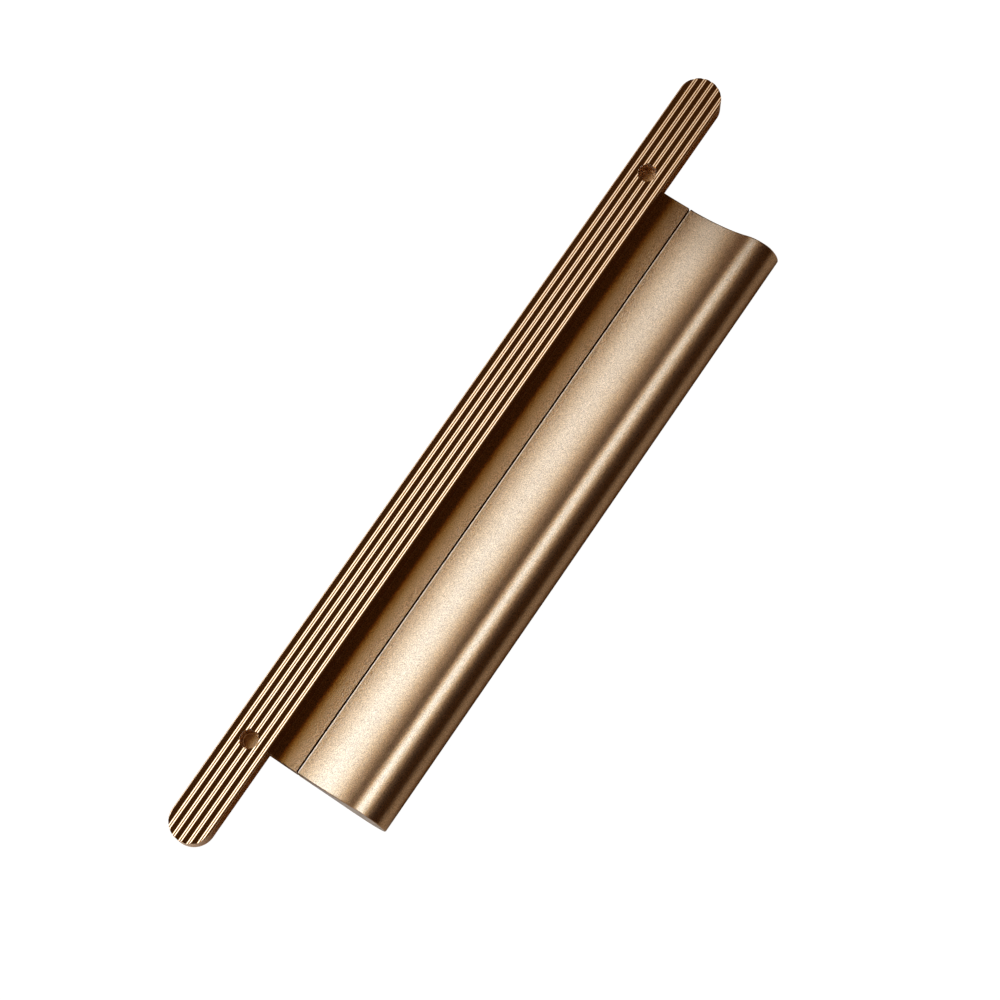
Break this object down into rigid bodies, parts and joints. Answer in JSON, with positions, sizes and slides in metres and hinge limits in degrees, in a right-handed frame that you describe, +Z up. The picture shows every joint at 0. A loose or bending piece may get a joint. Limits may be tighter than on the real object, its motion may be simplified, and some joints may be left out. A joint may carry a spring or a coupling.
{
  "type": "finger pull profile",
  "caption": "Long fluted mounting bar with rounded ends and blind screw holes, joined along a seam to a shorter scooped finger grip with a round nose.",
  "frame": {"origin": "centre of the footprint, on the flat underside that the pull lies on", "axes": "+X along the length of the bar, -Y towards the finger grip, +Z up through the fluted face"},
  "size_m": [0.3, 0.0584, 0.0171],
  "materials": {
    "bar_metal": "satin bronze anodised",
    "grip_metal": "satin bronze anodised"
  },
  "bodies": {
    "root": {"mounting_bar": "bar_metal", "grip_profile": "grip_metal"}
  },
  "joints": []
}
